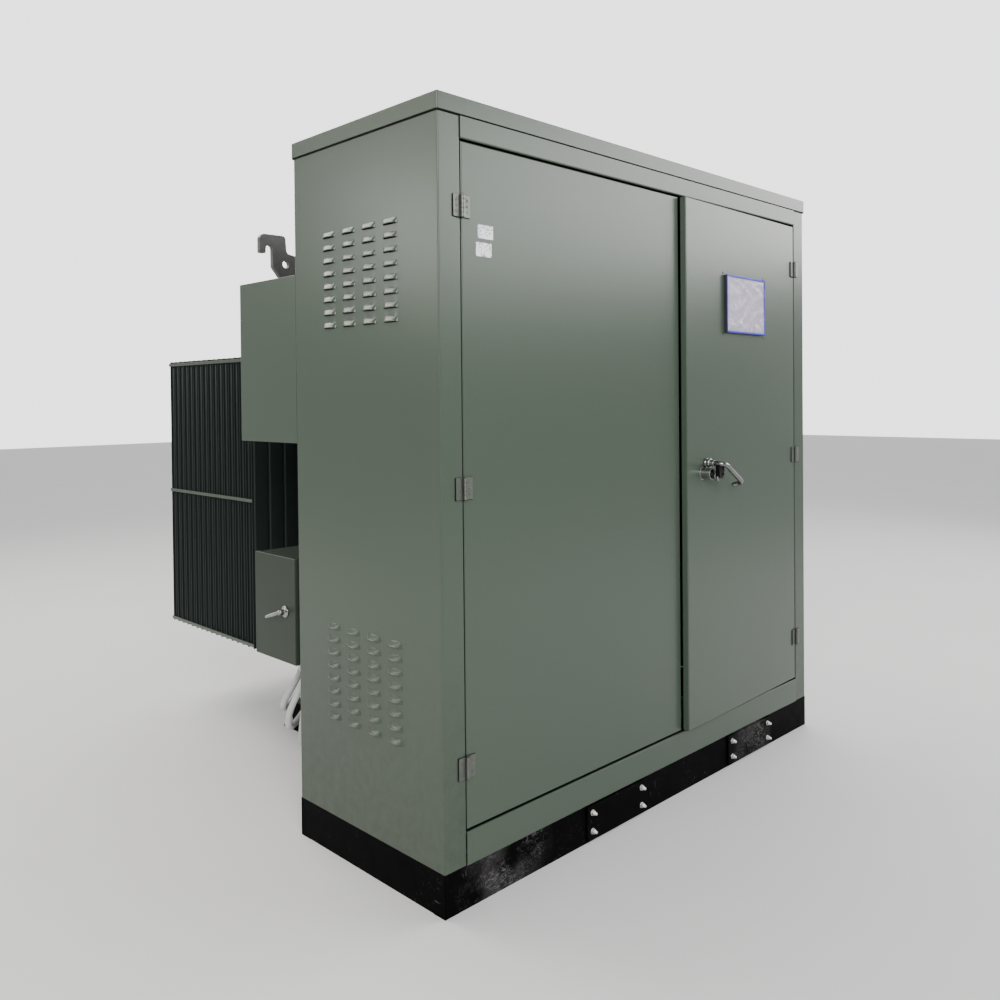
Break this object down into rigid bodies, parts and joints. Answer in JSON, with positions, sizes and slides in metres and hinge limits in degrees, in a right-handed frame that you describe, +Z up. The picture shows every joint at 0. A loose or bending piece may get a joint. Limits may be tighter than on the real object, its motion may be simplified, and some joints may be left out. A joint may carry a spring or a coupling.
{
  "type": "pad-mounted transformer",
  "caption": "Green steel pad-mounted transformer: a two-door cable cabinet in front of an oil tank with panel radiators, lifting hooks and a side control box.",
  "frame": {"origin": "middle of the underside of the skid's cross channel, on the pad, near the middle of the footprint", "axes": "+X to the right as seen from the doors, +Y from the doors to the radiators, +Z up"},
  "size_m": [2.037, 2.4617, 2.2],
  "materials": {
    "green_paint": "satin powder coat",
    "dark_green_paint": "satin",
    "black_paint": "scuffed satin",
    "zinc_plate": "zinc plated",
    "bare_steel": "polished",
    "primed_steel": "matt grey primer",
    "core_steel": "laminated",
    "winding_paper": "kraft paper over copper",
    "epoxy": "cast epoxy",
    "tinned_copper": "tinned",
    "black_plastic": "moulded",
    "yellow_plastic": "moulded",
    "brass": "cast",
    "cast_iron": "painted",
    "gauge_case": "satin",
    "chrome": "bright",
    "conduit_jacket": "ribbed jacket"
  },
  "bodies": {
    "unit": {"base_frame": "black_paint", "base_cover_plate_left": "black_paint", "base_cover_plate_right": "black_paint", "tank_skid": "black_paint", "left_side_panel": "green_paint", "right_side_panel": "green_paint", "header_rail": "green_paint", "sill_rail": "green_paint", "roof_cover": "green_paint", "tank_front_plate": "green_paint", "tank_wrapper": "green_paint", "tank_floor": "green_paint", "tank_cover": "green_paint", "tank_pocket_left": "green_paint", "tank_pocket_right": "green_paint", "control_box": "green_paint", "compartment_barrier": "zinc_plate", "left_hinge_upper": "green_paint", "right_hinge_upper": "green_paint", "left_hinge_middle": "green_paint", "right_hinge_middle": "green_paint", "left_hinge_lower": "green_paint", "right_hinge_lower": "green_paint", "lifting_hook_front_left": "primed_steel", "lifting_hook_front_right": "primed_steel", "lifting_hook_rear_left": "primed_steel", "lifting_hook_rear_right": "primed_steel", "radiator_left": "dark_green_paint", "radiator_right": "dark_green_paint", "core": "core_steel", "winding_1": "winding_paper", "winding_2": "winding_paper", "winding_3": "winding_paper", "hv_bushing_1": "epoxy", "hv_bushing_2": "epoxy", "hv_bushing_3": "epoxy", "lv_bushing_0": "tinned_copper", "lv_bushing_1": "tinned_copper", "lv_bushing_2": "tinned_copper", "lv_bushing_3": "tinned_copper", "drain_valve": "brass", "oil_level_gauge": "gauge_case", "pressure_relief_valve": "brass", "conduit_1": "conduit_jacket", "conduit_2": "conduit_jacket", "conduit_3": "conduit_jacket"},
    "left_door": {"left_door": "green_paint"},
    "right_door": {"right_door": "green_paint", "bolt_shroud": "zinc_plate"},
    "door_handle": {"door_handle": "bare_steel"},
    "lock_rod_upper": {"lock_rod_upper": "zinc_plate"},
    "lock_rod_lower": {"lock_rod_lower": "zinc_plate"},
    "control_box_door": {"control_box_door": "green_paint"},
    "control_box_handle": {"control_box_handle": "chrome"},
    "switch_handle": {"switch_handle": "yellow_plastic"},
    "tap_changer_handle": {"tap_changer_handle": "black_paint"},
    "fuse_1": {"bayonet_fuse_1": "black_plastic"},
    "fuse_2": {"bayonet_fuse_2": "black_plastic"},
    "fuse_3": {"bayonet_fuse_3": "black_plastic"},
    "drain_valve_wheel": {"drain_valve_wheel": "cast_iron"}
  },
  "joints": [
    {"name": "left_door_hinge", "type": "hinge", "parent": "unit", "child": "left_door", "pos_m": [-0.9195, -1.1225, 1.147], "axis": [0, 0, -1], "range_deg": [0, 110]},
    {"name": "right_door_hinge", "type": "hinge", "parent": "unit", "child": "right_door", "pos_m": [0.9195, -1.1225, 1.147], "axis": [0, 0, 1], "range_deg": [-1.9, 108]},
    {"name": "door_handle_turn", "type": "hinge", "parent": "right_door", "child": "door_handle", "pos_m": [0.22513, -1.13803, 1.15], "axis": [0.0332, -0.9995, 0], "range_deg": [-59, 31]},
    {"name": "lock_rod_upper_slide", "type": "slide", "parent": "right_door", "child": "lock_rod_upper", "axis": [0, 0, 1], "range_m": [-0.008, 0.015]},
    {"name": "lock_rod_lower_slide", "type": "slide", "parent": "right_door", "child": "lock_rod_lower", "axis": [0, 0, 1], "range_m": [-0.015, 0.008]},
    {"name": "control_box_door_hinge", "type": "hinge", "parent": "unit", "child": "control_box_door", "pos_m": [-0.98, -0.139, 0.706], "axis": [0, 0, -1], "range_deg": [0, 110]},
    {"name": "control_box_handle_turn", "type": "hinge", "parent": "control_box_door", "child": "control_box_handle", "pos_m": [-1, -0.333, 0.701], "axis": [-1, 0, 0], "range_deg": [-18, 72]},
    {"name": "switch_handle_turn", "type": "hinge", "parent": "unit", "child": "switch_handle", "pos_m": [-0.3, -0.424, 1.66], "axis": [0, -1, 0], "range_deg": [0, 90]},
    {"name": "tap_changer_turn", "type": "hinge", "parent": "unit", "child": "tap_changer_handle", "pos_m": [-0.55, -0.424, 1.66], "axis": [0, -1, 0], "range_deg": [-60, 60]},
    {"name": "fuse_1_pull", "type": "slide", "parent": "unit", "child": "fuse_1", "axis": [0, -1, 0], "range_m": [0, 0.33]},
    {"name": "fuse_2_pull", "type": "slide", "parent": "unit", "child": "fuse_2", "axis": [0, -1, 0], "range_m": [0, 0.33]},
    {"name": "fuse_3_pull", "type": "slide", "parent": "unit", "child": "fuse_3", "axis": [0, -1, 0], "range_m": [0, 0.33]},
    {"name": "drain_valve_turn", "type": "hinge", "parent": "unit", "child": "drain_valve_wheel", "pos_m": [-0.36, -0.52, 0.3], "axis": [0, 0, 1], "range_deg": [0, 720]}
  ],
  "couplings": [
    {"joint": "lock_rod_upper_slide", "follows": "door_handle_turn", "m_per_rad": -0.0145},
    {"joint": "lock_rod_lower_slide", "follows": "door_handle_turn", "m_per_rad": 0.0145}
  ]
}
